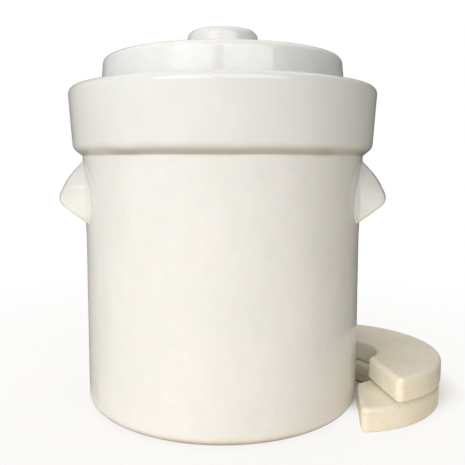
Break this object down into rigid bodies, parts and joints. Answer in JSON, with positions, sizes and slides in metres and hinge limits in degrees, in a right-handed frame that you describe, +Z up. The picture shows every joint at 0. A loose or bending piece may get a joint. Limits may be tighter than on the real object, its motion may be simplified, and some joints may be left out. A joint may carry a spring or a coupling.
{
  "type": "water seal pickle jar",
  "caption": "Glazed stoneware fermenting crock with a water gutter round its mouth, an inverted lid with a low knob, solid ear lugs and half-moon weight stones beside it.",
  "frame": {"origin": "middle of the crock's flat base, on the crock's axis, at the level of the table", "axes": "+Z is up along the crock's axis; +X and -X run through the two lugs, and the weight stones stand on the +X side; -Y is the side that the picture is taken from"},
  "size_m": [0.2945, 0.2314, 0.2823],
  "materials": {
    "glazed_stoneware": "thick glossy off-white glaze over stoneware",
    "weight_stoneware": "satin cream glaze, thin, over stoneware"
  },
  "bodies": {
    "crock": {"crock_body": "glazed_stoneware", "water_gutter": "glazed_stoneware", "handle_left": "glazed_stoneware", "handle_right": "glazed_stoneware"},
    "lid": {"lid": "glazed_stoneware", "lid_knob": "glazed_stoneware"},
    "lower_stone": {"weight_stone_lower": "weight_stoneware"},
    "upper_stone": {"weight_stone_upper": "weight_stoneware"}
  },
  "joints": [
    {"name": "lid_lift", "type": "slide", "parent": "crock", "child": "lid", "axis": [0, 0, 1], "range_m": [0, 0.08]},
    {"name": "lower_stone_lift", "type": "slide", "parent": "crock", "child": "lower_stone", "axis": [0, 0, 1], "range_m": [0, 0.04]},
    {"name": "upper_stone_lift", "type": "slide", "parent": "lower_stone", "child": "upper_stone", "axis": [0, 0, 1], "range_m": [0, 0.055]}
  ]
}
